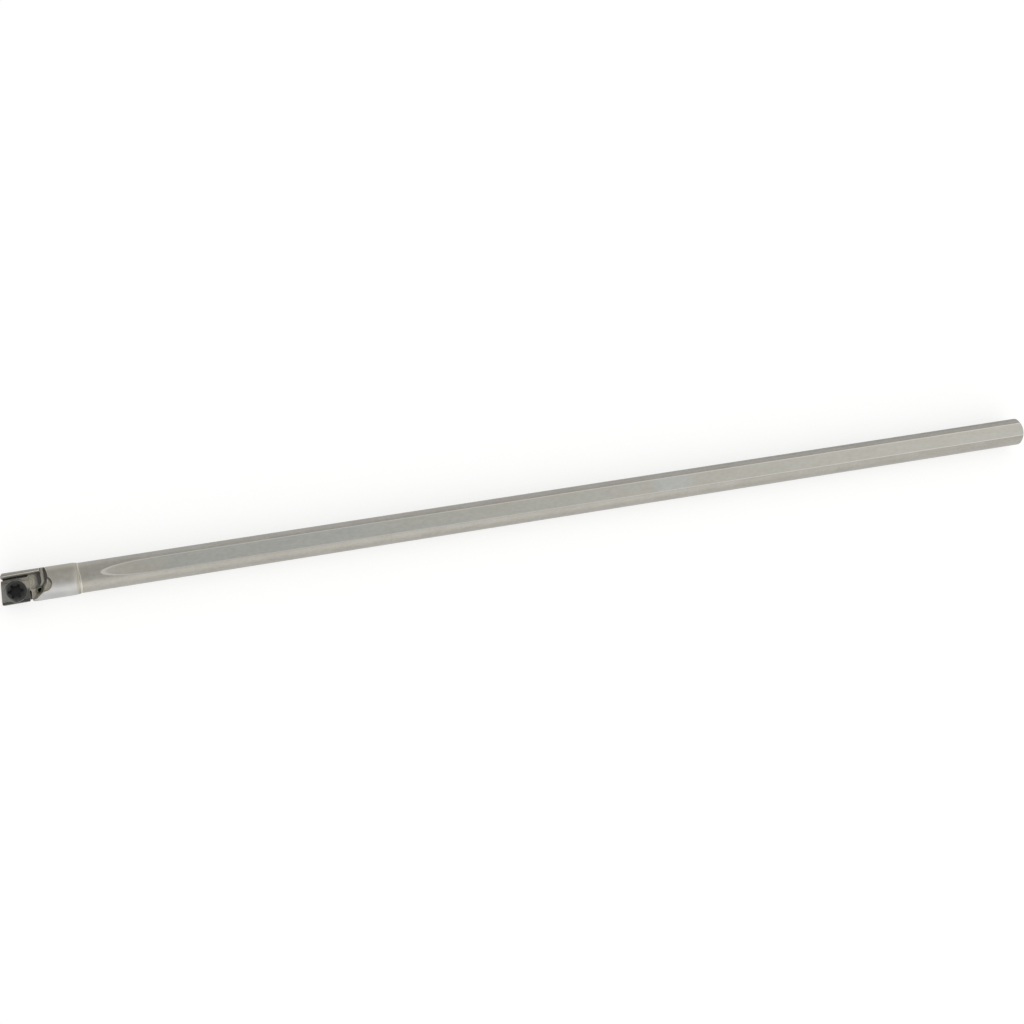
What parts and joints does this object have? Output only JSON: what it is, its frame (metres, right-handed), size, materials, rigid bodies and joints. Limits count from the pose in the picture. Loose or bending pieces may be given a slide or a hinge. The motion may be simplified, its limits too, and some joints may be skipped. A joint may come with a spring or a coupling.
{
  "type": "indexable boring bar",
  "caption": "Slender round boring bar with a long flat ground along its shank, brazed to a short steel head that holds a four-sided insert with a countersunk screw before a milled chip space.",
  "frame": {"origin": "on the shank's axis, where the shank comes out of the brazed joint", "axes": "+X along the shank towards its tail, +Z square to the ground flat and to the insert's rake face; the cutting corner is at -X on the -Y side"},
  "size_m": [0.15, 0.0042, 0.0042],
  "materials": {
    "shank_carbide": "centreless-ground tungsten carbide, its flat ground finer and slightly mottled",
    "silver_solder": "satin solder, ground flush",
    "head_steel": "satin, bead-blasted nickel-coloured steel",
    "insert_carbide": "dull sintered carbide, ground along the edges",
    "screw_steel": "black oxide, satin"
  },
  "bodies": {
    "root": {"shank": "shank_carbide", "braze_joint": "silver_solder", "head": "head_steel", "insert": "insert_carbide", "insert_screw": "screw_steel"}
  },
  "joints": []
}
